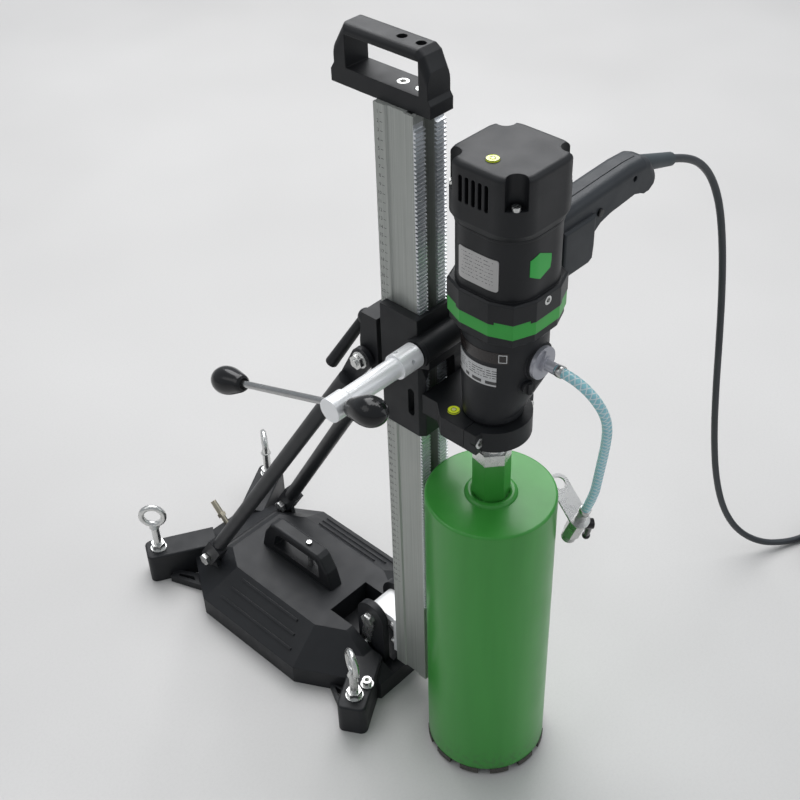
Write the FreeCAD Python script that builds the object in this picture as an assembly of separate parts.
import FreeCAD, Part
import math
import os

os.makedirs("parts", exist_ok=True)
V = FreeCAD.Vector

# Everything is drawn from the column's centre line, on the floor.
# The file's origin is on the floor at the front bar of the base, 40 mm behind that line.
FRAME_Y = 40.0

# Column and rack
COL_BACK = 28.0
COL_FRONT = -24.6
RACK_FACE = -28.0
COL_BOTTOM = 45.0
COL_TOP = 877.0
RACK_LOW = 189.0
RACK_HIGH = 862.0
RACK_IN = 8.0
MODULE = 1.5
PINION_TEETH = 16
ADDENDUM = 1.35

# Crank and pinion axis
PIN_Y = RACK_FACE + ADDENDUM - MODULE * PINION_TEETH / 2 - 0.05
PIN_Z = 615.0
CRANK_R = 11.7
TBAR_X = -154.0
TBAR_TILT = 19.4
TBAR_R = 4.0
KNOB_LEN = 56.0
KNOB_R = 16.4
KNOB_FAR = 163.0
KNOB_NEAR = 15.0

# Motor, gearbox and bit
SPIN_X = 0.0
SPIN_Y = -113.0
MOT_X = 18.0
CLAMP_LOW = 530.0
CLAMP_HIGH = 556.0
NECK_R = 30.0
BIT_R = 76.0
BIT_WALL = 3.0
BIT_TOP = 434.0
BIT_LOW = 3.0
SEGMENT_H = 9.0
HEX_AF = 38.0

# Motor flange and the ring under it
FLANGE_LOW = 698.0
TAB_H = 3.0
TAB_HALF = 24.5

# Gear train
IDLER_X = 21.75
IDLER_Y = SPIN_Y + math.sqrt(30.0 ** 2 - 21.75 ** 2)

# Tilt linkage
TILT_Y = 69.0
TILT_Z = 106.0
FOOT_Y = 356.0
FOOT_Z = 64.0
FOOT_X = 75.0
HEAD_X = 37.0
HEAD_Y = 47.0
HEAD_Z = 564.0
STRUT_R = 10.0

# Base casting
RIM_H = 30.0
TOP_Z = 69.5
ARM_H = 50.0
ARM_W = 40.0
SCREW_R = 6.0
EYE_Z = 116.0
EYE_R = 16.5
EYE_WIRE = 4.5
CAP_X = 83.5
CAP_Y = 25.5

# Cables
CABLE_R = 4.75
HOSE_R = 5.5


def box(x0, x1, y0, y1, z0, z1):
    return Part.makeBox(x1 - x0, y1 - y0, z1 - z0, V(x0, y0, z0))


def rod(p, axis, r, h):
    return Part.makeCylinder(r, h, V(*p), V(*axis))


def ring(p, axis, r_out, r_in, h):
    return rod(p, axis, r_out, h).cut(rod(p, axis, r_in, h))


def cone(p, axis, r0, r1, h):
    return Part.makeCone(r0, r1, h, V(*p), V(*axis))


def place(points, plane, level):
    if plane == "x":
        return [V(level, a, b) for a, b in points]
    if plane == "y":
        return [V(a, level, b) for a, b in points]
    return [V(a, b, level) for a, b in points]


def wire(points, plane, level):
    pts = place(points, plane, level)
    return Part.makePolygon(pts + [pts[0]])


def prism(points, plane, lo, hi):
    direction = {"x": V(1, 0, 0), "y": V(0, 1, 0), "z": V(0, 0, 1)}[plane]
    return Part.Face(wire(points, plane, lo)).extrude(direction * (hi - lo))


def loft(low, z0, high, z1):
    return Part.makeLoft([wire(low, "z", z0), wire(high, "z", z1)], True, True)


def hexagon(p, axis, af, h, turn=0.0):
    r = af / math.sqrt(3.0)
    pts = []
    for i in range(6):
        a = math.radians(60 * i + turn)
        pts.append(V(r * math.cos(a), r * math.sin(a), 0))
    solid = Part.Face(Part.makePolygon(pts + [pts[0]])).extrude(V(0, 0, h))
    solid.Placement = FreeCAD.Placement(V(*p), FreeCAD.Rotation(V(0, 0, 1), V(*axis)))
    return solid


def fuse(shapes):
    out = shapes[0]
    for s in shapes[1:]:
        out = out.fuse(s)
    return out.removeSplitter()


def cut(shape, tools):
    for t in tools:
        shape = shape.cut(t)
    return shape


def flip(shape):
    return shape.mirror(V(0, 0, 0), V(1, 0, 0))


def both(shape):
    return [shape, flip(shape)]


def mirrored(points):
    return points + [(-x, y) for x, y in reversed(points)]


def round_square(cx, cy, half, corner, z0, z1):
    s = box(cx - half, cx + half, cy - half, cy + half, z0, z1)
    uprights = [e for e in s.Edges if abs(e.Vertexes[0].Z - e.Vertexes[1].Z) > 0.5 * (z1 - z0)]
    return s.makeFillet(corner, uprights)


def stadium(p0, p1, r, plane, lo, hi):
    dy = p1[0] - p0[0]
    dz = p1[1] - p0[1]
    length = math.hypot(dy, dz)
    ny = -dz / length * r
    nz = dy / length * r
    pts = [(p0[0] + ny, p0[1] + nz), (p1[0] + ny, p1[1] + nz),
           (p1[0] - ny, p1[1] - nz), (p0[0] - ny, p0[1] - nz)]
    axis = {"x": (1, 0, 0), "y": (0, 1, 0), "z": (0, 0, 1)}[plane]
    parts = [prism(pts, plane, lo, hi)]
    for q in (p0, p1):
        at = place([q], plane, lo)[0]
        parts.append(rod((at.x, at.y, at.z), axis, r, hi - lo))
    return fuse(parts)


def save(name, shapes):
    if not isinstance(shapes, list):
        shapes = [shapes]
    solids = []
    for s in shapes:
        solids += s.Solids
    shape = solids[0].copy() if len(solids) == 1 else Part.makeCompound(solids)
    shape.translate(V(0, -FRAME_Y, 0))
    shape.exportStep("parts/" + name + ".step")
    print(name, "solids", len(solids), "cm3", round(shape.Volume / 1000, 2), "valid", shape.isValid())


# ---------------------------------------------------------------- gears

def involute_point(base, r, sign, start):
    a = math.acos(min(1.0, base / r))
    t = start + sign * (math.tan(a) - a)
    return (r * math.cos(t), r * math.sin(t))


def gear_points(m, teeth, pressure, add, ded, slack, phase):
    pitch = m * teeth / 2
    pa = math.radians(pressure)
    base = pitch * math.cos(pa)
    tip = pitch + add
    root = pitch - ded
    low = max(base, root) + 0.001
    half = math.pi / (2 * teeth) - slack / (2 * pitch) + math.tan(pa) - pa
    radii = [low + (tip - low) * i / 4 for i in range(5)]
    pts = []
    for k in range(teeth):
        mid = phase + 2 * math.pi * k / teeth
        if root < base:
            pts.append((root * math.cos(mid - half), root * math.sin(mid - half)))
        pts += [involute_point(base, r, 1, mid - half) for r in radii]
        pts += [involute_point(base, r, -1, mid + half) for r in reversed(radii)]
        if root < base:
            pts.append((root * math.cos(mid + half), root * math.sin(mid + half)))
    return pts


def gear_z(m, teeth, add, ded, phase, x, y, z0, h):
    pts = gear_points(m, teeth, 25.0, add, ded, 0.16, phase)
    return prism([(x + a, y + b) for a, b in pts], "z", z0, z0 + h)


# ---------------------------------------------------------------- column

def rack_strip(x0, x1):
    pitch = math.pi * MODULE
    line = RACK_FACE + ADDENDUM
    slope = math.tan(math.radians(20.0))
    tip_half = pitch / 4 - ADDENDUM * slope
    root_half = pitch / 4 + 1.75 * slope
    root = line + 1.75
    pts = [(COL_FRONT, RACK_LOW - 4), (root, RACK_LOW - 4)]
    first = math.ceil((RACK_LOW - PIN_Z) / pitch)
    last = math.floor((RACK_HIGH - PIN_Z) / pitch)
    for k in range(first, last + 1):
        z = PIN_Z + k * pitch
        pts += [(root, z - root_half), (RACK_FACE, z - tip_half)]
        pts += [(RACK_FACE, z + tip_half), (root, z + root_half)]
    pts += [(root, COL_TOP - 9), (COL_FRONT, COL_TOP - 9)]
    return prism(pts, "x", x0, x1)


def column_profile():
    outer = [(-22, -24.6), (-8, -24.6), (-8, -12), (8, -12), (8, -24.6), (22, -24.6),
             (22, -12), (20, -10.5), (20, 11), (22, 12.5), (22, 28),
             (5, 28), (5, 20.5), (9.5, 20.5), (9.5, 14), (-9.5, 14), (-9.5, 20.5), (-5, 20.5), (-5, 28),
             (-22, 28), (-22, 12.5), (-20, 11), (-20, -10.5), (-22, -12)]
    bar = prism(outer, "z", COL_BOTTOM, COL_TOP)
    chamber = box(-14, 14, -7.5, 9.5, COL_BOTTOM, COL_TOP)
    pockets = both(box(11, 18.5, -20.5, -12.5, COL_BOTTOM, COL_TOP))
    return cut(bar, [chamber] + pockets + foot_screw_bodies(0.0))


def foot_screw_bodies(grow):
    out = []
    for z in (72.0, 104.0):
        for x in (-15.5, 15.5):
            out.append(rod((x, 17.0, z), (0, 1, 0), 3.0 + grow, 30.0))
    return out


def foot_screws():
    out = []
    for z in (72.0, 104.0):
        for x in (-15.5, 15.5):
            head = rod((x, 35.0, z), (0, 1, 0), 5.0, 5.5)
            socket = hexagon((x, 38.0, z), (0, 1, 0), 5.0, 3.0)
            shank = rod((x, 17.0, z), (0, 1, 0), 3.0, 18.0)
            out.append(cut(fuse([shank, head]), [socket]))
    return out


def column_foot():
    plate = box(-20, 20, COL_BACK, 35, 58, 120)
    ear = prism([(35, 66), (60, 84), (69, 84), (69, 120), (35, 120)], "x", -8, 8)
    top = box(-19, 19, 35, TILT_Y, 111, 120)
    boss = rod((-19, TILT_Y, TILT_Z), (1, 0, 0), 14.0, 38)
    body = fuse([plate, ear, top, boss])
    hole = rod((-30, TILT_Y, TILT_Z), (1, 0, 0), 8.05, 60)
    return cut(body, [hole] + foot_screw_bodies(0.0))


HANDLE_BOLTS = (7.5, -17.0)


def edges_where(shape, test):
    out = []
    for e in shape.Edges:
        mid = e.valueAt((e.FirstParameter + e.LastParameter) / 2)
        if test(mid):
            out.append(e)
    return out


HANDLE_HALF = 16.0


def top_handle():
    outer = [(91, 877), (91, 890), (86, 898), (86, 919), (73, 941),
             (-24, 941), (-31.5, 936), (-38.5, 921), (-38.5, 895), (-42, 890), (-42, 877)]
    half = HANDLE_HALF
    body = prism(outer, "x", -half, half)
    crown = edges_where(body, lambda m: abs(abs(m.x) - half) < 0.01 and m.z > 925)
    body = body.makeFillet(7.0, crown)
    body = body.cut(prism([(70, 896), (70, 930.5), (-27, 930.5), (-27, 896)], "x", -20, 20))
    holes = []
    for y in HANDLE_BOLTS:
        holes.append(rod((0, y, 920), (0, 0, 1), 5.2, 40))
        holes.append(rod((0, y, 890), (0, 0, 1), 6.6, 20))
        holes.append(rod((0, y, 870), (0, 0, 1), 3.1, 40))
    return cut(body, holes)


def handle_screws():
    out = []
    for y in HANDLE_BOLTS:
        head = rod((0, y, 890), (0, 0, 1), 6.4, 6)
        socket = hexagon((0, y, 892), (0, 0, 1), 6.0, 5.0)
        shank = rod((0, y, 877.3), (0, 0, 1), 3.0, 13)
        out.append(cut(fuse([shank, head]), [socket]))
    return out


# ---------------------------------------------------------------- base

RIM = mirrored([(61, 23), (122, 134), (122, 325), (60, 425)])
DECK = mirrored([(47, 101), (69, 141), (69, 305), (47, 340.5)])
INNER_RIM = mirrored([(67, 60), (110, 137), (110, 321), (54, 411)])
INNER_DECK = mirrored([(42, 109), (61, 143.5), (61, 302), (42, 333)])
FRONT_ARM = (-128.0, 13.5, -0.866, -0.5)
REAR_ARM = (-128.0, 449.0, -0.866, 0.5)
EYES = [(-108.0, 25.0), (108.0, 25.0), (-111.0, 439.2), (111.0, 439.2)]


def arm(spec):
    x, y, dx, dy = spec
    half = ARM_W / 2
    body = box(-105, 0, -half, half, 0, ARM_H)
    ends = edges_where(body, lambda m: abs(m.x) < 0.01 and abs(m.z - ARM_H / 2) < 1)
    body = body.makeFillet(9.0, ends)
    tops = edges_where(body, lambda m: abs(m.z - ARM_H) < 0.01 and m.x > -104)
    body = body.makeFillet(3.0, tops)
    body.rotate(V(0, 0, 0), V(0, 0, 1), math.degrees(math.atan2(dy, dx)))
    body.translate(V(x, y, 0))
    return body


def web(points, hole):
    return prism(points, "z", 0, 12).cut(prism(hole, "z", -1, 13))


def slope_ribs():
    out = []
    run = 53.0
    rise = TOP_Z - RIM_H
    angle = math.degrees(math.atan2(rise, run))
    for x, y0, y1 in ((77.0, 168, 284), (92.0, 160, 293), (107.0, 152, 300)):
        z = RIM_H + (122.0 - x) * rise / run
        bar = box(-1.7, 1.7, y0, y1, -3.0, 2.0)
        bar.rotate(V(0, 0, 0), V(0, 1, 0), angle)
        bar.translate(V(x, 0, z))
        out += both(bar)
    return out


def cheek():
    body = box(20, 30, 45, 93, 20, TILT_Z)
    top = rod((20, TILT_Y, TILT_Z), (1, 0, 0), 24, 10)
    return fuse([body, top])


def strut_lug():
    pts = [(338, 40), (343, 64), (369, 64), (375, 36)]
    web_plate = prism(pts, "x", FOOT_X - 3.5, FOOT_X + 3.5)
    eye = rod((FOOT_X - 3.5, FOOT_Y, FOOT_Z), (1, 0, 0), 13.0, 7)
    return fuse([web_plate, eye])


def seal_groove(z0, z1):
    outer = mirrored([(58, 27), (118.5, 135), (118.5, 324), (58, 421)])
    inner = mirrored([(55, 33), (113.5, 136), (113.5, 323), (55, 415)])
    return prism(outer, "z", z0, z1).cut(prism(inner, "z", z0, z1))


def base_casting():
    shell = fuse([prism(RIM, "z", 0, RIM_H), loft(RIM, RIM_H, DECK, TOP_Z)])
    arms = []
    for spec in (FRONT_ARM, REAR_ARM):
        arms += both(arm(spec))
    webs = both(web([(-86, 60), (-96, 89), (-117, 46), (-105, 42)],
                    [(-93, 64), (-95.5, 79), (-107, 55.5), (-103, 54.5)]))
    webs += both(web([(-98, 362), (-85, 384), (-103, 418), (-117, 412)],
                     [(-97.5, 377), (-94, 385), (-104, 405), (-108, 404)]))
    body = fuse([shell] + arms + webs + slope_ribs())
    hollow = fuse([prism(INNER_RIM, "z", -1, 28), loft(INNER_RIM, 28, INNER_DECK, 61.5)])
    keep = box(-43, 43, 50, 152, 20, 70)
    body = body.cut(hollow.cut(keep))
    notch = box(-35, 35, 0, 144, RIM_H, 90)
    body = body.cut(notch)
    extras = both(cheek()) + both(strut_lug())
    for x in (-1, 1):
        for y in (30.0,):
            extras.append(box(x * 16 - 6, x * 16 + 6, 36, 44, 20, 36))
    body = fuse([body] + extras)
    tools = [rod((-40, TILT_Y, TILT_Z), (1, 0, 0), 8.0, 80)]
    tools += both(rod((22, 79, 50), (1, 0, 0), 3.0, 18))
    tools += [rod((-90, FOOT_Y, FOOT_Z), (1, 0, 0), 5.0, 180)]
    tools += both(rod((56, FOOT_Y, FOOT_Z), (1, 0, 0), 10.5, 15.4))
    for x in (66.2, FOOT_X + 3.6):
        tools += both(rod((x, FOOT_Y, FOOT_Z), (1, 0, 0), 12.9, 5.2))
    tools += [rod((x, y, -1), (0, 0, 1), SCREW_R + 0.05, 60) for x, y in EYES]
    tools += [rod((s * CAP_X, CAP_Y, 20), (0, 0, 1), 4.0, 40) for s in (-1, 1)]
    tools += [seal_groove(-1, 4), vent_bore(), nipple_hole()]
    return cut(body, tools)


def vent_bore():
    return rod((0, 219, 50), (0, 0, 1), 4.3, 40)


def nipple_hole():
    return rod((0, 398, 22), (0, 1, 1), 4.0, 50)


def vacuum_nipple():
    start = V(0, 398, 22)
    slant = V(0, 1, 1).normalize()
    body = rod((0, 398, 22), (0, 1, 1), 4.0, 34)
    at = start + slant * 34
    hexa = hexagon((at.x, at.y, at.z), (0, 1, 1), 12.0, 6.0)
    at = start + slant * 40
    stem = rod((at.x, at.y, at.z), (0, 1, 1), 4.6, 22)
    lines = []
    for i in range(3):
        at = start + slant * (56.5 + 1.8 * i)
        lines.append(ring((at.x, at.y, at.z), (0, 1, 1), 6.0, 4.1, 0.8))
    bore = rod((0, 397, 21), (0, 1, 1), 2.0, 80)
    return cut(fuse([body, hexa, stem]), lines + [bore])


def levelling_screw(x, y, turn):
    shank = rod((x, y, 3), (0, 0, 1), SCREW_R, EYE_Z - 23)
    neck = cone((x, y, EYE_Z - 22), (0, 0, 1), 8.0, 5.0, 7)
    eye = Part.makeTorus(EYE_R, EYE_WIRE, V(x, y, EYE_Z), V(math.cos(turn), math.sin(turn), 0))
    return fuse([shank, neck, eye])


def levelling_nuts():
    out = []
    for x, y in EYES:
        washer = ring((x, y, ARM_H), (0, 0, 1), 12, SCREW_R + 0.05, 2.2)
        nut = hexagon((x, y, ARM_H + 2.2), (0, 0, 1), 18.5, 9.0, 12)
        nut = nut.cut(rod((x, y, 40), (0, 0, 1), SCREW_R + 0.05, 40))
        out.append(fuse([washer, nut]))
    return out


def front_cap_screws():
    out = []
    for x in (-CAP_X, CAP_X):
        shank = rod((x, CAP_Y, 20), (0, 0, 1), 4.0, 32)
        washer = rod((x, CAP_Y, ARM_H), (0, 0, 1), 9.0, 1.8)
        head = rod((x, CAP_Y, ARM_H + 1.8), (0, 0, 1), 6.5, 8)
        socket = hexagon((x, CAP_Y, ARM_H + 4), (0, 0, 1), 6.0, 7)
        out.append(cut(fuse([shank, washer, head]), [socket]))
    return out


def tilt_bolts():
    parts = [rod((-32.5, TILT_Y, TILT_Z), (1, 0, 0), 8.0, 65)]
    for s in (-1, 1):
        parts.append(hexagon((s * 32.5, TILT_Y, TILT_Z), (s, 0, 0), 17.0, 6.0, 20))
        parts.append(rod((s * 22, 79, 50), (s, 0, 0), 3.0, 11))
        parts.append(rod((s * 32.5, 79, 50), (s, 0, 0), 4.5, 2.0))
    parts += both(stadium((79, 50), (TILT_Y, TILT_Z), 9.0, "x", 30, 32.5))
    return fuse(parts)


def strut_pivot_bolts():
    out = []
    for s in (-1, 1):
        shaft = rod((s * (FOOT_X - 12), FOOT_Y, FOOT_Z), (s, 0, 0), 5.0, 24)
        head = hexagon((s * (FOOT_X + 8.9), FOOT_Y, FOOT_Z), (s, 0, 0), 16.0, 6.5, 20)
        nut = hexagon((s * (FOOT_X - 8.9), FOOT_Y, FOOT_Z), (-s, 0, 0), 16.0, 7.5, 10)
        out.append(fuse([shaft, head, nut]))
    return out


def carry_handle():
    outer = [(167, TOP_Z), (175, 98), (187, 120), (194, 124), (284, 124), (292, 121), (305, 101),
             (314, TOP_Z)]
    window = [(191, 82), (191, 106), (196, 112), (272, 112), (280, 106), (287, 82)]
    body = prism(outer, "x", -11.5, 11.5)
    crown = edges_where(body, lambda m: abs(abs(m.x) - 11.5) < 0.01 and m.z > 72)
    body = body.makeFillet(4.0, crown)
    body = body.cut(prism(window, "x", -20, 20))
    return cut(body, [rod((0, 219, 60), (0, 0, 1), 4.3, 80)])


def vent_button():
    stem = rod((0, 219, 64), (0, 0, 1), 4.0, 60)
    cap = rod((0, 219, 124.0), (0, 0, 1), 4.0, 3.5)
    skirt = rod((0, 219, 54), (0, 0, 1), 4.0, 10)
    return fuse([stem, cap, skirt])


# ---------------------------------------------------------------- struts

def strut():
    foot = V(FOOT_X, FOOT_Y, FOOT_Z)
    head = V(HEAD_X + 3.5, HEAD_Y, HEAD_Z)
    line = (head - foot).normalize()
    total = (head - foot).Length
    start = foot + line * 34
    tube = Part.makeCylinder(STRUT_R, total - 34 - 42, start, line)
    bore = Part.makeCylinder(STRUT_R - 2.5, total - 34 - 42 - 10, start + line * 5, line)
    tilt = math.degrees(math.atan2(line.y, line.z))
    block = fuse([box(-8.5, 8.5, -12.5, 12.5, 0, 42), rod((-8.5, 0, 0), (1, 0, 0), 12.5, 17)])
    slot = box(-3.7, 3.7, -16, 16, -16, 15.0)
    block = block.cut(slot).cut(rod((-20, 0, 0), (1, 0, 0), 5.05, 40))
    block.rotate(V(0, 0, 0), V(1, 0, 0), -tilt)
    block.translate(foot)
    plate = fuse([rod((-3.5, 0, 0), (1, 0, 0), 14, 7),
                  prism([(-14, 0), (14, 0), (9, -70), (-9, -70)], "x", -3.5, 3.5)])
    plate.rotate(V(0, 0, 0), V(1, 0, 0), -tilt)
    plate.translate(V(HEAD_X, HEAD_Y, HEAD_Z))
    body = fuse([tube, block, plate])
    return body.cut(bore).cut(rod((HEAD_X - 10, HEAD_Y, HEAD_Z), (1, 0, 0), 5.0, 20))


def strut_head_bolts():
    out = []
    for s in (-1, 1):
        shaft = rod((s * (HEAD_X - 3.2), HEAD_Y, HEAD_Z), (s, 0, 0), 5.0, 7)
        washer = rod((s * (HEAD_X + 3.5), HEAD_Y, HEAD_Z), (s, 0, 0), 10.5, 1.8)
        head = hexagon((s * (HEAD_X + 5.3), HEAD_Y, HEAD_Z), (s, 0, 0), 16.0, 6.5, 15)
        tail = rod((s * (HEAD_X + 11.8), HEAD_Y, HEAD_Z), (s, 0, 0), 4.4, 3.0)
        out.append(fuse([shaft, washer, head, tail]))
    return out


def strut_bracket():
    block = prism([(28.6, 550), (56, 550), (56, 582), (52, 622), (28.6, 622)], "x", -31, 31)
    tongue = box(-4.7, 4.7, 20.6, 30, 556, 616)
    foot = box(-9.2, 9.2, 14.4, 20.2, 556, 616)
    neck = box(-4.7, 4.7, 19, 22, 556, 616)
    body = fuse([block, tongue, neck, foot])
    return body.cut(rod((0, 30, 588), (0, 1, 0), 5.05, 40))


def clamp_lever():
    stud = rod((0, 32, 588), (0, 1, 0), 5.0, 24.3)
    hub = cone((0, 56.3, 588), (0, 1, 0), 11.0, 9.5, 20)
    cap = Part.makeSphere(10.0, V(0, 76, 588))
    body = fuse([stud, hub, cap])
    start = V(0, 77, 588)
    reach = V(-22.8, 114, 517.9) - start
    length = reach.Length
    lever = Part.makeCone(6.4, 7.8, length + 4, start, reach)
    end = start + reach * ((length + 4) / length)
    rim = edges_where(lever, lambda m: (m - end).Length < 0.5 or (m - end).Length < 8.0)
    lever = lever.makeFillet(2.5, rim[:1])
    return [body, lever.cut(body)]


# ---------------------------------------------------------------- carriage

PAD_HEIGHTS = [(500.0, 532.0), (604.0, 640.0)]


def pad_box(z0, z1):
    return box(20.08, 26.5, -10, 10, z0, z1)


def guide_pads():
    out = []
    for z0, z1 in PAD_HEIGHTS:
        out += both(pad_box(z0, z1))
    return out


def carriage_housing():
    side = [(20, 492), (-40, 492), (-40, 575), (-36, 592), (-34, 650), (20, 650)]
    body = prism(side, "x", -33, 33)
    left_corner = prism([(-34, -42), (-25, -42), (-34, -33)], "z", 480, 660)
    right_corner = prism([(34, -42), (30.5, -42), (34, -38.5)], "z", 480, 660)
    body = cut(body, [left_corner, right_corner])
    tube = rod((-38, PIN_Y, PIN_Z), (1, 0, 0), 16.0, 76)
    rim = rod((-42, PIN_Y, PIN_Z), (1, 0, 0), 17.0, 5)
    face = prism([(-30, 587), (-51, 595), (-51, 612), (-30, 612)], "x", -33, 33)
    body = fuse([body, tube, rim, face])
    shaft = rod((-45, PIN_Y, PIN_Z), (1, 0, 0), 8.05, 90)
    teeth = rod((-23, PIN_Y, PIN_Z), (1, 0, 0), 14.0, 46)
    channel = box(-22.5, 22.5, -28.5, 40, 480, 660)
    window = prism([(-27, 548), (-18, 538), (20, 538), (20, 580), (-20, 580), (-27, 570)], "y", -60, -20)
    gib_slot = both(stadium((-23.0, 521.5), (-23.0, 549.5), 4.6, "x", 18, 40))
    pads = []
    for z0, z1 in PAD_HEIGHTS:
        pads += both(pad_box(z0, z1))
    screws = [rod((20, 0, z), (1, 0, 0), 3.0, 20) for z in (516.0, 622.0)]
    return cut(body, [shaft, teeth, channel, window] + gib_slot + pads + screws)


def gib_screws():
    out = []
    for z in (516.0, 622.0):
        screw = rod((26.5, 0, z), (1, 0, 0), 3.0, 6.5)
        head = rod((33, 0, z), (1, 0, 0), 5.5, 3.5)
        head = head.cut(hexagon((34.5, 0, z), (1, 0, 0), 4.0, 2.5))
        out.append(fuse([screw, head]))
    return out


def clamp_halves():
    outer = [(-48, SPIN_Y), (-48, -80), (-33, -62), (-33, -40), (33, -40), (33, -62), (48, -80),
             (48, SPIN_Y)]
    rear = prism(outer, "z", CLAMP_LOW, CLAMP_HIGH)
    disc = rod((SPIN_X, SPIN_Y, CLAMP_LOW), (0, 0, 1), 43, CLAMP_HIGH - CLAMP_LOW)
    front = disc.common(box(-60, 60, -200, SPIN_Y - 0.6, 500, 600))
    lugs = box(-48, 48, -130, SPIN_Y - 0.6, CLAMP_LOW, CLAMP_HIGH)
    front = fuse([front, lugs])
    bore = rod((SPIN_X, SPIN_Y, 500), (0, 0, 1), NECK_R + 0.05, 100)
    screws = []
    for x in (-41.5, 41.5):
        screws.append(rod((x, -131, 543), (0, 1, 0), 3.5, 45))
        screws.append(rod((x, -131, 543), (0, 1, 0), 6.5, 8))
    pocket = rod((-31, -84, 553.2), (0, 0, 1), 7.0, 10)
    return cut(rear, [bore] + screws + [pocket]), cut(front, [bore] + screws)


def clamp_screws():
    out = []
    for x in (-41.5, 41.5):
        head = rod((x, -131.0, 543), (0, 1, 0), 6.5, 8)
        shank = rod((x, -123.0, 543), (0, 1, 0), 3.5, 37)
        socket = hexagon((x, -131.5, 543), (0, 1, 0), 7.0, 6.5)
        out.append(cut(fuse([head, shank]), [socket]))
    return out


def spirit_levels():
    low = rod((-31, -84, 553.2), (0, 0, 1), 7.0, 4.0)
    high = rod((-8, -112, 855.2), (0, 0, 1), 7.0, 4.0)
    return [low, high]


def pinion():
    pitch_r = MODULE * PINION_TEETH / 2
    pts = gear_points(MODULE, PINION_TEETH, 20.0, ADDENDUM, 1.75, 0.24, math.pi / PINION_TEETH)
    wheels = []
    for x0 in (-21.5, 7.5):
        wheel = prism([(PIN_Y + a, PIN_Z + b) for a, b in pts], "x", x0, x0 + 14)
        wheels.append(wheel)
    shaft = rod((-60, PIN_Y, PIN_Z), (1, 0, 0), 8.0, 98)
    print("pinion pitch radius", pitch_r)
    return fuse([shaft] + wheels)


def crank_bar():
    axis = (1, 0, 0)
    bar = rod((-168, PIN_Y, PIN_Z), axis, CRANK_R, 100)
    head = rod((-168, PIN_Y, PIN_Z), axis, 13.6, 22)
    rim = edges_where(head, lambda m: abs(m.x + 168) < 0.01)
    head = head.makeFillet(0.8, rim)
    neck = cone((-146, PIN_Y, PIN_Z), axis, 13.6, CRANK_R, 2.5)
    collar = rod((-72, PIN_Y, PIN_Z), axis, 14.5, 28.8)
    body = fuse([bar, head, neck, collar])
    tools = [rod((-60, PIN_Y, PIN_Z), axis, 8.0, 40)]
    c = math.cos(math.radians(TBAR_TILT))
    s = math.sin(math.radians(TBAR_TILT))
    tools.append(rod((TBAR_X, PIN_Y - 40 * c, PIN_Z + 40 * s), (0, c, -s), TBAR_R + 0.05, 80))
    for x, a in ((-66.0, 72.0), (-58.0, 158.0)):
        d = (0, math.cos(math.radians(a)), math.sin(math.radians(a)))
        tools.append(rod((x, PIN_Y + 8 * d[1], PIN_Z + 8 * d[2]), d, 2.4, 10))
    return cut(body, tools)


def along_tbar(s):
    c = math.cos(math.radians(TBAR_TILT))
    n = math.sin(math.radians(TBAR_TILT))
    return (TBAR_X, PIN_Y + s * c, PIN_Z - s * n)


def tbar_direction():
    c = math.cos(math.radians(TBAR_TILT))
    n = math.sin(math.radians(TBAR_TILT))
    return (0, c, -n)


def tbar_rod():
    return rod(along_tbar(-KNOB_NEAR - 24), tbar_direction(), TBAR_R, KNOB_FAR + KNOB_NEAR + 48)


def egg(inner, sign):
    pts = []
    count = 24
    for i in range(count + 1):
        t = i / count
        s = t * KNOB_LEN
        r = KNOB_R * abs(math.sin(math.pi * (0.15 + 0.85 * t ** 1.6))) ** 0.62
        r *= 1.0 - 0.35 * math.exp(-s / 2.0)
        pts.append((s, max(r, 0.0)))
    pts[-1] = (KNOB_LEN, 0.0)
    outline = [V(s, r, 0) for s, r in pts]
    outline.append(V(0, 0, 0))
    face = Part.Face(Part.makePolygon(outline + [outline[0]]))
    solid = face.revolve(V(0, 0, 0), V(1, 0, 0), 360)
    d = V(*tbar_direction()) * sign
    turn = FreeCAD.Rotation(V(1, 0, 0), d)
    solid.Placement = FreeCAD.Placement(V(*along_tbar(inner)), turn)
    return solid


def tbar_knobs():
    stick = tbar_rod()
    return [egg(KNOB_FAR, 1).cut(stick), egg(-KNOB_NEAR, -1).cut(stick)]


# ---------------------------------------------------------------- drill motor

def twelve_sided(side, run, ridge, z0, z1):
    pts = []
    for i in range(4):
        c = round(math.cos(math.pi / 2 * i))
        s = round(math.sin(math.pi / 2 * i))
        for a, b in ((side, -run), (side, run), (ridge, ridge)):
            pts.append((MOT_X + a * c - b * s, SPIN_Y + a * s + b * c))
    return prism(pts, "z", z0, z1)


def flange_tabs(side, run, ridge):
    z0 = FLANGE_LOW - TAB_H
    cross = box(MOT_X - 60, MOT_X + 60, SPIN_Y - TAB_HALF, SPIN_Y + TAB_HALF, z0, FLANGE_LOW)
    cross = cross.fuse(box(MOT_X - TAB_HALF, MOT_X + TAB_HALF, SPIN_Y - 60, SPIN_Y + 60, z0, FLANGE_LOW))
    return cross.common(twelve_sided(side, run, ridge, z0, FLANGE_LOW))


def motor_housing():
    body = round_square(MOT_X, SPIN_Y, 48, 36, 718, 790)
    flange = twelve_sided(53.0, 19.0, 43.3, FLANGE_LOW, 720)
    rim = edges_where(flange, lambda m: abs(m.z - 720) < 0.01)
    flange = flange.makeChamfer(2.0, rim)
    seam = round_square(MOT_X, SPIN_Y, 48.8, 36.5, 787, 790)
    body = fuse([body, flange, seam, flange_tabs(53.0, 19.0, 43.3)])
    hollow = rod((MOT_X, SPIN_Y, 690), (0, 0, 1), 41.0, 120)
    return cut(body, [hollow, rod((16.5, -166.5, 712), (0, 1, 0), 5.0, 12)])


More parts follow.
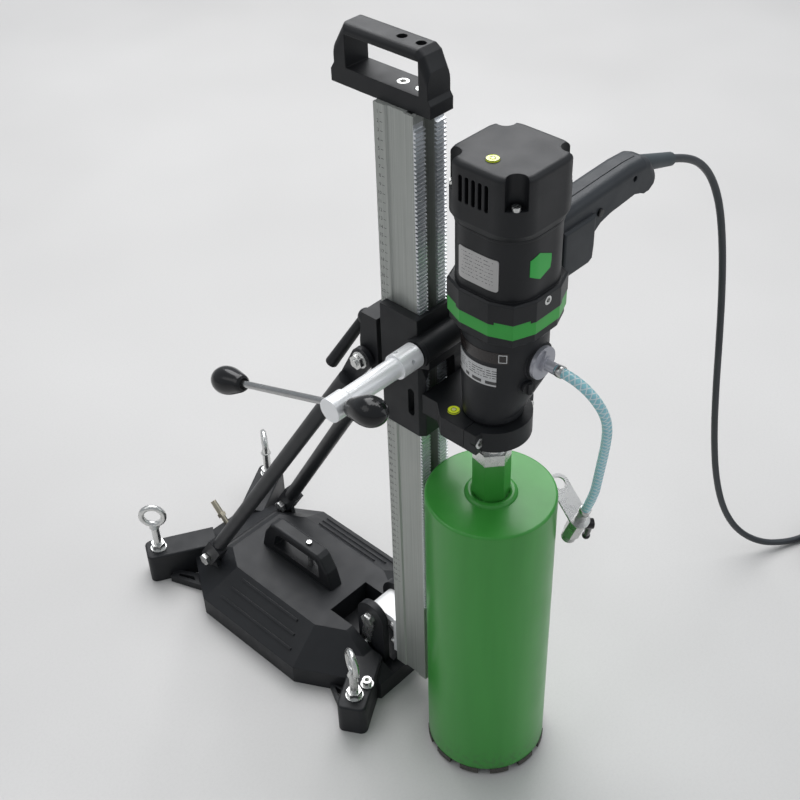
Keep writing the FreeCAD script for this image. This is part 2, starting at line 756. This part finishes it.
def corner_wire(half, corner, z):
    s = round_square(MOT_X, SPIN_Y, half, corner, z, z + 10)
    for f in s.Faces:
        if abs(f.CenterOfMass.z - z) < 0.01:
            return f.OuterWire
    return None


def cap_corners():
    out = []
    for i in range(4):
        a = math.radians(45 + 90 * i)
        out.append((MOT_X + 57.5 * math.cos(a), SPIN_Y + 57.5 * math.sin(a)))
    return out


def vent_slots(spots, x0, x1):
    return [stadium((y, 818.5), (y, 842.5), 2.3, "x", x0, x1) for y in spots]


def motor_cap():
    top = round_square(MOT_X, SPIN_Y, 50, 29, 797, 858)
    brow = edges_where(top, lambda m: abs(m.z - 858) < 0.01)
    top = top.makeFillet(6.0, brow)
    chin = Part.makeLoft([corner_wire(48.6, 36, 790), corner_wire(50, 29, 797)], True, True)
    body = fuse([top, chin])
    tools = []
    for x, y in cap_corners():
        tools.append(rod((x, y, 824), (0, 0, 1), 11.0, 60))
        tools.append(rod((x * 0.94 + MOT_X * 0.06, y * 0.94 + SPIN_Y * 0.06, 806), (0, 0, 1), 2.5, 30))
    tools += vent_slots([-93.0 - 8.0 * i for i in range(5)], -40, -20)
    tools += vent_slots([-97.0 - 8.0 * i for i in range(4)], 60, 76)
    tools.append(rod((MOT_X, SPIN_Y, 780), (0, 0, 1), 38.0, 68))
    tools.append(rod((-8, -112, 855.2), (0, 0, 1), 7.0, 10))
    return cut(body, tools)


def motor_screws():
    out = []
    for x, y in cap_corners():
        cx = x * 0.94 + MOT_X * 0.06
        cy = y * 0.94 + SPIN_Y * 0.06
        shank = rod((cx, cy, 806), (0, 0, 1), 2.5, 18)
        head = rod((cx, cy, 824), (0, 0, 1), 4.6, 4.5)
        slot = box(cx - 5, cx + 5, cy - 0.6, cy + 0.6, 827.3, 829)
        out.append(cut(fuse([shank, head]), [slot]))
    ring_screw = rod((16.5, -166.2, 712), (0, 1, 0), 5.0, 5.0)
    out.append(ring_screw.cut(hexagon((16.5, -166.6, 712), (0, 1, 0), 5.0, 4)))
    out.append(rod((204.0, -125, 754.0), (0, 1, 0), 2.6, 5))
    return out


def stator():
    body = ring((MOT_X, SPIN_Y, 728), (0, 0, 1), 40.5, 27.6, 40)
    coils = [ring((MOT_X, SPIN_Y, z), (0, 0, 1), 38.0, 29.0, 8) for z in (720, 768)]
    return fuse([body] + coils)


def brushes():
    out = []
    for s in (-1, 1):
        holder = rod((MOT_X + s * 16.3, SPIN_Y, 800), (s, 0, 0), 5.0, 20.0)
        out.append(holder)
    return out


def flange_ring():
    body = twelve_sided(52.6, 18.8, 42.9, 680, FLANGE_LOW)
    body = body.cut(flange_tabs(53.0, 19.0, 43.3))
    return body.cut(rod((MOT_X, SPIN_Y, 670), (0, 0, 1), 43.0, 40))


SELECT_ANGLE = -110.3
SELECT_Z = 608.5


def select_point(reach):
    a = math.radians(SELECT_ANGLE)
    return (17 + reach * math.cos(a), SPIN_Y + reach * math.sin(a), SELECT_Z)


def select_axis():
    a = math.radians(SELECT_ANGLE)
    return (math.cos(a), math.sin(a), 0)


def gearbox_housing():
    plate = twelve_sided(51.0, 18.0, 41.6, 670, 680)
    chin = Part.makeCone(46.0, 50.5, 8, V(MOT_X, SPIN_Y, 662), V(0, 0, 1))
    barrel = rod((17, SPIN_Y, 604), (0, 0, 1), 46.0, 60)
    taper = taper_between(17, 46.0, 604, 0, 33.0, 566)
    lip = rod((0, SPIN_Y, 560), (0, 0, 1), 33.0, 6)
    neck = rod((0, SPIN_Y, 519), (0, 0, 1), NECK_R, 45)
    water = rod((18, -150, 632), (0, -1, 0), 21.5, 7.5)
    gasket = rod((18, -156, 632), (0, -1, 0), 19.8, 3.5)
    pad = rod(select_point(40), select_axis(), 10.0, 6.8)
    body = fuse([plate, chin, barrel, taper, lip, neck, water, gasket, pad])
    tools = [rod((17, SPIN_Y, 624), (0, 0, 1), 42.0, 60)]
    tools.append(rod((0, SPIN_Y, 510), (0, 0, 1), 14.3, 120))
    tools.append(rod((0, SPIN_Y, 510), (0, 0, 1), 21.0, 34))
    tools.append(rod((0, SPIN_Y, 604), (0, 0, 1), 21.0, 30))
    tools.append(rod((IDLER_X, IDLER_Y, 612), (0, 0, 1), 4.05, 20))
    tools.append(rod(select_point(36), select_axis(), 3.05, 20))
    return cut(body, tools)


def taper_between(x0, r0, z0, x1, r1, z1):
    top = Part.Wire(Part.makeCircle(r0, V(x0, SPIN_Y, z0), V(0, 0, 1)))
    low = Part.Wire(Part.makeCircle(r1, V(x1, SPIN_Y, z1), V(0, 0, 1)))
    return Part.makeLoft([top, low], True, True)


def bearings():
    out = [ring((0, SPIN_Y, z), (0, 0, 1), 21.0, 14.05, 12) for z in (522, 605)]
    bridge = rod((MOT_X, SPIN_Y, 700), (0, 0, 1), 41.0, 4)
    bridge = bridge.cut(rod((MOT_X, SPIN_Y, 690), (0, 0, 1), 5.05, 30))
    out.append(bridge)
    top = rod((MOT_X, SPIN_Y, 832), (0, 0, 1), 38.0, 6)
    out.append(top.cut(rod((MOT_X, SPIN_Y, 820), (0, 0, 1), 5.05, 30)))
    idler = rod((MOT_X, SPIN_Y, 664), (0, 0, 1), 41.0, 4)
    idler = idler.cut(rod((MOT_X, SPIN_Y, 650), (0, 0, 1), 7.5, 30))
    idler = idler.cut(rod((IDLER_X, IDLER_Y, 650), (0, 0, 1), 4.05, 30))
    out.append(idler.common(rod((17, SPIN_Y, 650), (0, 0, 1), 42.0, 30)))
    return out


def armature():
    shaft = rod((MOT_X, SPIN_Y, 652), (0, 0, 1), 5.0, 188)
    core = rod((MOT_X, SPIN_Y, 730), (0, 0, 1), 27.0, 36)
    windings = rod((MOT_X, SPIN_Y, 724), (0, 0, 1), 22.0, 48)
    commutator = rod((MOT_X, SPIN_Y, 788), (0, 0, 1), 16.0, 24)
    hub = rod((MOT_X, SPIN_Y, 706), (0, 0, 1), 12.0, 10)
    disc = rod((MOT_X, SPIN_Y, 706), (0, 0, 1), 36.0, 2)
    blades = []
    for i in range(12):
        blade = box(14, 36, -0.8, 0.8, 708, 716)
        blade.rotate(V(0, 0, 0), V(0, 0, 1), 30 * i)
        blade.translate(V(MOT_X, SPIN_Y, 0))
        blades.append(blade)
    teeth = gear_z(1.0, 10, 0.8, 1.0, motor_phase(), MOT_X, SPIN_Y, 651.0, 10.5)
    slim = rod((MOT_X, SPIN_Y, 661.5), (0, 0, 1), 5.0, 1)
    shaft = shaft.cut(rod((MOT_X, SPIN_Y, 650), (0, 0, 1), 5.2, 11.5))
    return fuse([shaft, core, windings, commutator, hub, disc, teeth, slim] + blades)


def motor_phase():
    return math.atan2(IDLER_Y - SPIN_Y, IDLER_X - MOT_X)


def idler_big_phase():
    back = math.atan2(SPIN_Y - IDLER_Y, MOT_X - IDLER_X)
    return back + math.pi / 32


def idler_small_phase():
    return math.atan2(SPIN_Y - IDLER_Y, SPIN_X - IDLER_X)


def idler_gear():
    shaft = rod((IDLER_X, IDLER_Y, 614), (0, 0, 1), 4.0, 53)
    big = gear_z(1.0, 32, 0.8, 1.0, idler_big_phase(), IDLER_X, IDLER_Y, 652.0, 9)
    small = gear_z(1.5, 10, 1.2, 1.5, idler_small_phase(), IDLER_X, IDLER_Y, 628.0, 22)
    return fuse([shaft, big, small])


def spindle():
    toward = math.atan2(IDLER_Y - SPIN_Y, IDLER_X - SPIN_X)
    wheel = gear_z(1.5, 30, 1.2, 1.5, toward + math.pi / 30, SPIN_X, SPIN_Y, 630.0, 16)
    shaft = rod((SPIN_X, SPIN_Y, 518), (0, 0, 1), 14.0, 130)
    collar = rod((SPIN_X, SPIN_Y, 503), (0, 0, 1), 17.0, 15)
    flats = []
    for s in (-1, 1):
        flats.append(box(-20, 20, SPIN_Y + s * 15 - 1 + s * 1, SPIN_Y + s * 15 + 1 + s * 1, 505, 513))
    nut = hexagon((SPIN_X, SPIN_Y, 488), (0, 0, 1), HEX_AF, 15, 19)
    nut = nut.common(cone((SPIN_X, SPIN_Y, 486), (0, 0, 1), 22.0, 26.5, 8).fuse(
        cone((SPIN_X, SPIN_Y, 494), (0, 0, 1), 26.5, 21.5, 10)))
    thread = rod((SPIN_X, SPIN_Y, 456), (0, 0, 1), 15.5, 34)
    body = fuse([wheel, shaft, collar, nut, thread])
    return cut(body, flats)


def core_bit():
    tube = ring((SPIN_X, SPIN_Y, BIT_LOW + SEGMENT_H), (0, 0, 1), BIT_R, BIT_R - BIT_WALL,
                BIT_TOP - 7 - BIT_LOW - SEGMENT_H)
    plate = rod((SPIN_X, SPIN_Y, BIT_TOP - 7), (0, 0, 1), BIT_R, 7)
    rim_edges = [e for e in plate.Edges if abs(e.BoundBox.ZMin - BIT_TOP) < 0.01]
    plate = plate.makeFillet(3.0, rim_edges)
    bead = Part.makeTorus(25.6, 5.2, V(SPIN_X, SPIN_Y, BIT_TOP - 1.0), V(0, 0, 1))
    hub = hexagon((SPIN_X, SPIN_Y, BIT_TOP - 3), (0, 0, 1), HEX_AF, 57, 19)
    body = fuse([tube, plate, bead, hub])
    bore = rod((SPIN_X, SPIN_Y, 400), (0, 0, 1), 12.0, 100)
    seat = rod((SPIN_X, SPIN_Y, 456), (0, 0, 1), 15.55, 60)
    return cut(body, [bore, seat])


def bit_segments():
    whole = ring((SPIN_X, SPIN_Y, BIT_LOW), (0, 0, 1), BIT_R + 0.8, BIT_R - BIT_WALL - 0.8, SEGMENT_H)
    out = []
    for i in range(12):
        slot = box(60, 90, -7.5, 7.5, -1, 20)
        slot.rotate(V(0, 0, 0), V(0, 0, 1), 30 * i + 9)
        slot.translate(V(SPIN_X, SPIN_Y, 0))
        out.append(slot)
    return cut(whole, out)


HANDLE_HOLE = (204.0, -132.0, 754.0)
LOCK_X = 143.5
LOCK_Z = 740.5


def motor_handle():
    outline = [(66.5, 764), (110, 766.5), (165, 768.5), (200, 769.5), (226, 768), (237, 763),
               (243, 754), (244, 743), (241, 733), (233, 728), (223, 728), (216, 731.5),
               (206, 734.5), (162, 731), (146, 727), (137, 721), (133, 712),
               (131, 693), (124, 689), (80, 689), (72.5, 697), (72.5, 727), (66.5, 727)]
    body = prism(outline, "y", -132, -94)
    sides = (-132, -94)

    def on_grip(m):
        on_side = min(abs(m.y - sides[0]), abs(m.y - sides[1])) < 0.01
        return on_side and m.z > 755 and m.x > 72

    body = body.makeFillet(11.0, edges_where(body, on_grip))
    gap = box(66.0, 79.5, -140, -112, 680, 748)
    block = prism([(79.5, 694), (84, 689), (124, 689), (131, 693), (132.5, 708), (132.5, 745),
                   (79.5, 745)], "y", -136.5, -128)
    block = block.makeFillet(3.5, edges_where(block, lambda m: abs(m.y + 136.5) < 0.01))
    body = body.cut(gap).fuse(block)
    seam = [ring_strip(-116.5)]
    tools = [box(136.5, 161.5, -120.3, -105.7, 700, 747), cable_boot()] + seam
    tools.append(rod((HANDLE_HOLE[0], -140, HANDLE_HOLE[2]), (0, 1, 0), 3.4, 15))
    tools.append(rod((HANDLE_HOLE[0], -127, HANDLE_HOLE[2]), (0, 1, 0), 2.6, 7))
    tools.append(rod((LOCK_X, -140, LOCK_Z), (0, 1, 0), 4.6, 16.5))
    return cut(body, tools)


def ring_strip(y):
    pts = [(76, 763.7), (110, 765.7), (165, 767.7), (200, 767.7), (222, 764.7), (222, 775), (76, 775)]
    return prism(pts, "y", y - 0.5, y + 0.5)


def lock_button():
    stem = rod((LOCK_X, -134.5, LOCK_Z), (0, 1, 0), 4.5, 9.0)
    rim = edges_where(stem, lambda m: abs(m.y + 134.5) < 0.01)
    return stem.makeFillet(1.2, rim)


def trigger():
    pts = [(137.2, 742), (137.2, 722), (141, 717), (153, 722), (160.8, 729), (160.8, 742)]
    return prism(pts, "y", -120, -106)


BOOT_START = V(233.0, -113.0, 753.23)
BOOT_DIR = V(0.95, 0, -0.3122)


def cable_boot():
    return Part.makeCone(9.6, 7.9, 70.4, BOOT_START, BOOT_DIR)


def water_swivel():
    disc = rod((18, -159.5, 632), (0, -1, 0), 18.5, 4.5)
    boss = rod((18, -164.0, 632), (0, -1, 0), 8.5, 4.0)
    spout = rod((18, -168.0, 632), (0, -1, 0), 6.2, 12.0)
    flat = prism([(10, 632), (26, 632), (18, 648)], "y", -166.5, -164.0)
    return fuse([disc, boss, spout, flat])


def gear_selector():
    stem = rod(select_point(37), select_axis(), 3.0, 11)
    knob = rod(select_point(46.9), select_axis(), 7.5, 4.0)
    bar = box(50.9, 53.4, -2.2, 2.2, -6.8, 6.8)
    bar.rotate(V(0, 0, 0), V(0, 0, 1), SELECT_ANGLE)
    bar.translate(V(17, SPIN_Y, SELECT_Z))
    return fuse([stem, knob, bar])


def rating_plate():
    skin = round_square(MOT_X, SPIN_Y, 48.7, 36.7, 731, 767)
    skin = skin.cut(round_square(MOT_X, SPIN_Y, 48, 36, 730, 768))
    blank = box(-40, 0, -138.5, -88.5, 731, 767)
    corners = edges_where(blank, lambda m: abs(m.x + 20) < 0.01)
    return skin.common(blank.makeFillet(3.0, corners))


# ---------------------------------------------------------------- cords

def cord_tube(points, radius, label):
    pts = [V(*p) for p in points]
    edges = []
    start = pts[0]
    radii = []
    for i in range(1, len(pts) - 1):
        a = pts[i - 1] - pts[i]
        b = pts[i + 1] - pts[i]
        shorter = min(a.Length, b.Length)
        turn = math.pi - a.getAngle(b)
        r = 0.45 * shorter / math.tan(turn / 2)
        radii.append(round(r / (2 * radius), 1))
        a.normalize()
        b.normalize()
        enter = pts[i] + a * (0.45 * shorter)
        leave = pts[i] + b * (0.45 * shorter)
        bis = (a + b).normalize()
        reach = math.hypot(r, 0.45 * shorter) - r
        middle = pts[i] + bis * reach
        edges.append(Part.LineSegment(start, enter).toShape())
        edges.append(Part.Arc(enter, middle, leave).toShape())
        start = leave
    edges.append(Part.LineSegment(start, pts[-1]).toShape())
    path = Part.Wire(edges)
    first = (pts[1] - pts[0]).normalize()
    section = Part.Wire(Part.makeCircle(radius, pts[0], first))
    tube = path.makePipeShell([section], True, False)
    length = path.Length
    print(label, "length", round(length, 1), "radii in diameters", radii)
    print(label, "volume ratio", round(tube.Volume / (math.pi * radius ** 2 * length), 4))
    return tube


HOSE_ROUTE = [(18, -180, 632), (18, -198, 632), (21, -216.5, 623.5), (28.5, -230, 604.5),
              (38.5, -234, 577.5), (47, -229, 544.5), (54.5, -221.5, 510.5), (61, -214, 474.5),
              (66, -207.4, 438.2), (70, -193, 401)]

CABLE_ROUTE = [(299.9, -113, 731.24), (341, -113, 717.7), (384, -116, 684), (411, -121, 634),
               (424, -127, 572), (431, -133, 500), (436, -138, 418), (440, -143, 330), (446, -149, 245),
               (457, -157, 165), (473, -170, 98), (497, -189, 48), (530, -214, 17), (567, -237, 6.5),
               (597, -251, 4.9), (622, -255.1, 4.9)]


def cable_coil():
    return ring((622, -330, 0.1), (0, 0, 1), 70.0, 42.0, 38.3)


def plug():
    body = rod((0, 0, 0), (1, 0, 0), 19.0, 34)
    tail = cone((0, 0, 0), (-1, 0, 0), 12.0, 7.0, 24)
    face = rod((34, 0, 0), (1, 0, 0), 17.0, 10)
    pins = [rod((44, y, 0), (1, 0, 0), 2.4, 19) for y in (-9.5, 9.5)]
    out = fuse([body, tail, face] + pins)
    out.rotate(V(0, 0, 0), V(0, 0, 1), 150.0)
    out.translate(V(582.4, -414.5, 19.0))
    return out


VALVE_TOP = V(70.0, -193.0, 401.0)
VALVE_DIR = V(0.10, 0.36, -0.93)


def on_valve(s):
    d = V(VALVE_DIR)
    d.normalize()
    p = VALVE_TOP + d * s
    return (p.x, p.y, p.z)


LEVER_OUT = V(0.80, -0.57, -0.186).normalize()


def lever_point(reach):
    return V(*on_valve(29.0)) + LEVER_OUT * reach


def hose_valve():
    d = (VALVE_DIR.x, VALVE_DIR.y, VALVE_DIR.z)
    barb = rod(on_valve(0), d, 5.8, 15)
    body = hexagon(on_valve(17.5), d, 19.0, 34)
    body2 = rod(on_valve(15), d, 7.0, 3)
    collar = rod(on_valve(51.5), d, 9.0, 11)
    grooves = []
    for i in range(3):
        grooves.append(ring(on_valve(53.5 + 3 * i), d, 10, 8.4, 1.0))
    bore = rod(on_valve(50), d, 5.5, 20)
    stem = Part.makeCylinder(3.05, 20, lever_point(3.0), LEVER_OUT)
    return cut(fuse([barb, body2, body, collar]), grooves + [bore, stem])


def strap_plate():
    d = V(VALVE_DIR).normalize()
    across = V(0.31, 0.90, 0.0)
    across = (across - d * across.dot(d)).normalize()
    side = d.cross(across)
    base = VALVE_TOP + d * 15
    flat = FreeCAD.Matrix(across.x, side.x, d.x, base.x, across.y, side.y, d.y, base.y,
                          across.z, side.z, d.z, base.z, 0, 0, 0, 1)
    plate = stadium((0, 0), (50, 0), 12.5, "z", 0, 2.5)
    plate = plate.cut(rod((0, 0, -5), (0, 0, 1), 7.02, 12)).cut(rod((50, 0, -5), (0, 0, 1), 8.0, 12))
    return plate.transformGeometry(flat)


def valve_lever():
    d = V(VALVE_DIR).normalize()
    stem = Part.makeCylinder(3.0, 9, lever_point(3.5), LEVER_OUT)
    hub = Part.makeCylinder(6.5, 9, lever_point(11.4), LEVER_OUT)
    start = lever_point(17.0)
    arm_dir = V(d * 0.98 + LEVER_OUT * 0.15).normalize()
    lever = Part.makeCone(4.6, 3.6, 32, start, arm_dir)
    tip = Part.makeSphere(5.0, start + arm_dir * 32)
    return fuse([stem, hub, lever, tip])


# ---------------------------------------------------------------- output

save("base_casting", base_casting())
save("vacuum_seal", seal_groove(0, 4))
save("carry_handle", carry_handle())
save("vent_button", vent_button())
save("vacuum_nipple", vacuum_nipple())
save("levelling_nuts", levelling_nuts())
TURNS = [-0.45, 0.6, 0.77, -0.6]
SCREW_NAMES = ["levelling_screw_fl", "levelling_screw_fr", "levelling_screw_rl", "levelling_screw_rr"]
for screw_name, spot, turn_angle in zip(SCREW_NAMES, EYES, TURNS):
    save(screw_name, levelling_screw(spot[0], spot[1], turn_angle))
save("front_cap_screws", front_cap_screws())
save("tilt_bolts", tilt_bolts())
save("strut_pivot_bolts", strut_pivot_bolts())
save("column_profile", column_profile())
save("rack_strips", [rack_strip(-22, -RACK_IN), rack_strip(RACK_IN, 22)])
save("column_foot", column_foot())
save("column_screws", foot_screws() + handle_screws())
save("top_handle", top_handle())
save("strut_tubes", both(strut()))
save("strut_head_bolts", strut_head_bolts())
save("strut_bracket", strut_bracket())
save("clamp_lever", clamp_lever())
save("carriage_housing", carriage_housing())
save("guide_pads", guide_pads())
save("gib_screws", gib_screws())
rear_half, front_half = clamp_halves()
save("motor_clamp", rear_half)
save("clamp_cap", front_half)
save("clamp_screws", clamp_screws())
save("spirit_levels", spirit_levels())
save("pinion_shaft", pinion())
save("crank_bar", crank_bar())
save("tbar_rod", tbar_rod())
save("tbar_knobs", tbar_knobs())
save("motor_housing", motor_housing())
save("motor_cap", motor_cap())
save("motor_screws", motor_screws())
save("stator", stator())
save("brush_holders", brushes())
save("flange_ring", flange_ring())
save("gearbox_housing", gearbox_housing())
save("bearing_plates", bearings())
save("armature", armature())
save("idler_gear", idler_gear())
save("spindle", spindle())
save("core_bit", core_bit())
save("bit_segments", bit_segments())
save("motor_handle", motor_handle())
save("trigger", trigger())
save("lock_button", lock_button())
save("cable_boot", cable_boot())
save("water_swivel", water_swivel())
save("gear_selector", gear_selector())
save("rating_plate", rating_plate())
save("hose", cord_tube(HOSE_ROUTE, HOSE_R, "hose"))
save("hose_valve", hose_valve())
save("strap_plate", strap_plate())
save("valve_lever", valve_lever())
save("power_cable", cord_tube(CABLE_ROUTE, CABLE_R, "cable"))
save("cable_coil", cable_coil())
save("cable_plug", plug())
